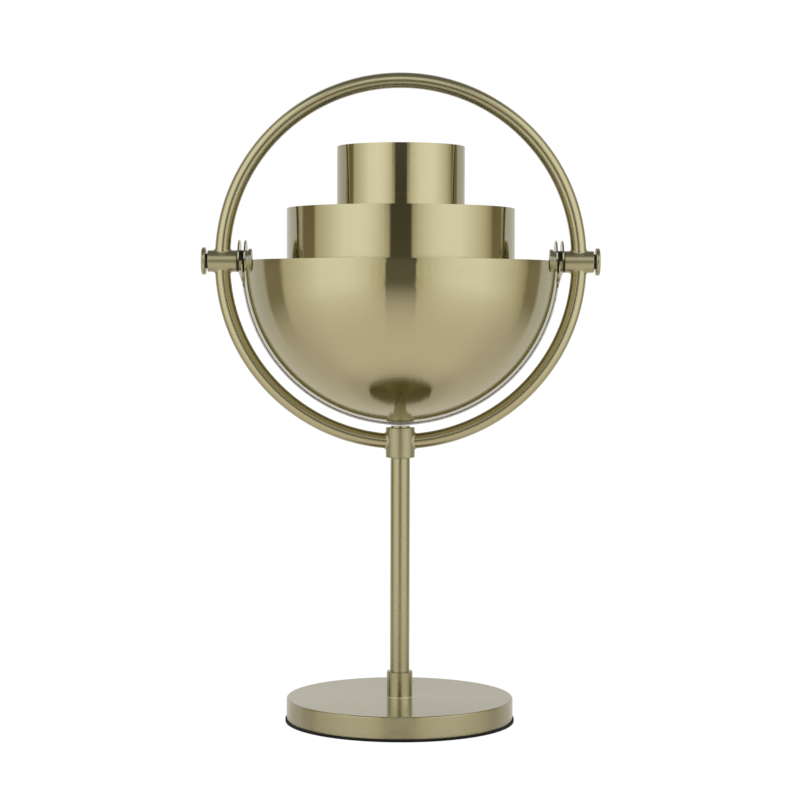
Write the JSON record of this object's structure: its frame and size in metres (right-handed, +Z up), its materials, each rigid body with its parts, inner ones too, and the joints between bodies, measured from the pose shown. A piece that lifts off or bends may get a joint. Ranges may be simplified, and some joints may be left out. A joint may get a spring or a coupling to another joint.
{
  "type": "dome shade desk lamp",
  "caption": "Table lamp with a ring on a stem and round base; two turning quarter-round shades hang on the ring's pivots round stacked open cylinders.",
  "frame": {"origin": "centre of the base's underside, on the table", "axes": "+Z up, +X to the right along the shades' pivot axis as seen from the front, -Y to the front"},
  "size_m": [0.3058, 0.2502, 0.4995],
  "materials": {
    "brass": "brushed and clear lacquered, satin",
    "brass_polished": "fine turned, clear lacquered",
    "shade_brass": "brushed brass outside, white lacquer inside",
    "steel": "zinc plated",
    "iron": "cast",
    "rubber": "matt black",
    "fibre": "black, low friction",
    "phenolic": "moulded black",
    "nylon": "natural",
    "white_paint": "white lacquer, satin",
    "contact_brass": "bare",
    "cap_metal": "rolled",
    "opal_glass": "opal",
    "lead_sheath": "white insulation"
  },
  "bodies": {
    "frame": {"base_pad": "rubber", "base_cover": "steel", "cover_screws": "steel", "base_weight": "iron", "base_shell": "brass", "cord_gland": "rubber", "cord_clamp": "nylon", "clamp_screws": "steel", "terminal_block": "nylon", "tie_washer": "steel", "tie_nut": "steel", "tie_tube": "steel", "stem_collar": "brass", "stem_tube": "brass", "ring_hub": "brass", "hub_plug": "brass_polished", "ring_lower_left": "brass", "ring_lower_right": "brass", "ring_arch": "brass", "pivot_boss_left": "brass_polished", "pivot_boss_right": "brass_polished", "pivot_axle_left": "steel", "pivot_axle_right": "steel", "knob_spacer_left": "fibre", "knob_spacer_right": "fibre", "pivot_knob_left": "brass_polished", "pivot_knob_right": "brass_polished", "boss_washer_left": "fibre", "boss_washer_right": "fibre", "friction_washer_left": "fibre", "friction_washer_right": "fibre", "arm_washer_left": "steel", "arm_washer_right": "steel", "arm_left": "brass_polished", "arm_right": "brass_polished", "large_cylinder": "brass", "carrier_plate": "white_paint", "small_cylinder": "brass", "carrier_screws": "steel", "arm_screws": "steel", "holder_bridge": "steel", "holder_nipple": "steel", "holder_nut": "steel", "lamp_holder": "phenolic", "contact_sleeve": "contact_brass", "centre_contact": "contact_brass", "bulb_cap": "cap_metal", "bulb_glass": "opal_glass", "inner_lead": "lead_sheath"},
    "front_shade": {"front_shade": "shade_brass"},
    "rear_shade": {"rear_shade": "shade_brass"}
  },
  "joints": [
    {"name": "front_shade_turn", "type": "hinge", "parent": "frame", "child": "front_shade", "pos_m": [0, 0, 0.35499], "axis": [1, 0, 0], "continuous": true},
    {"name": "rear_shade_turn", "type": "hinge", "parent": "frame", "child": "rear_shade", "pos_m": [0, 0, 0.35499], "axis": [1, 0, 0], "continuous": true}
  ]
}
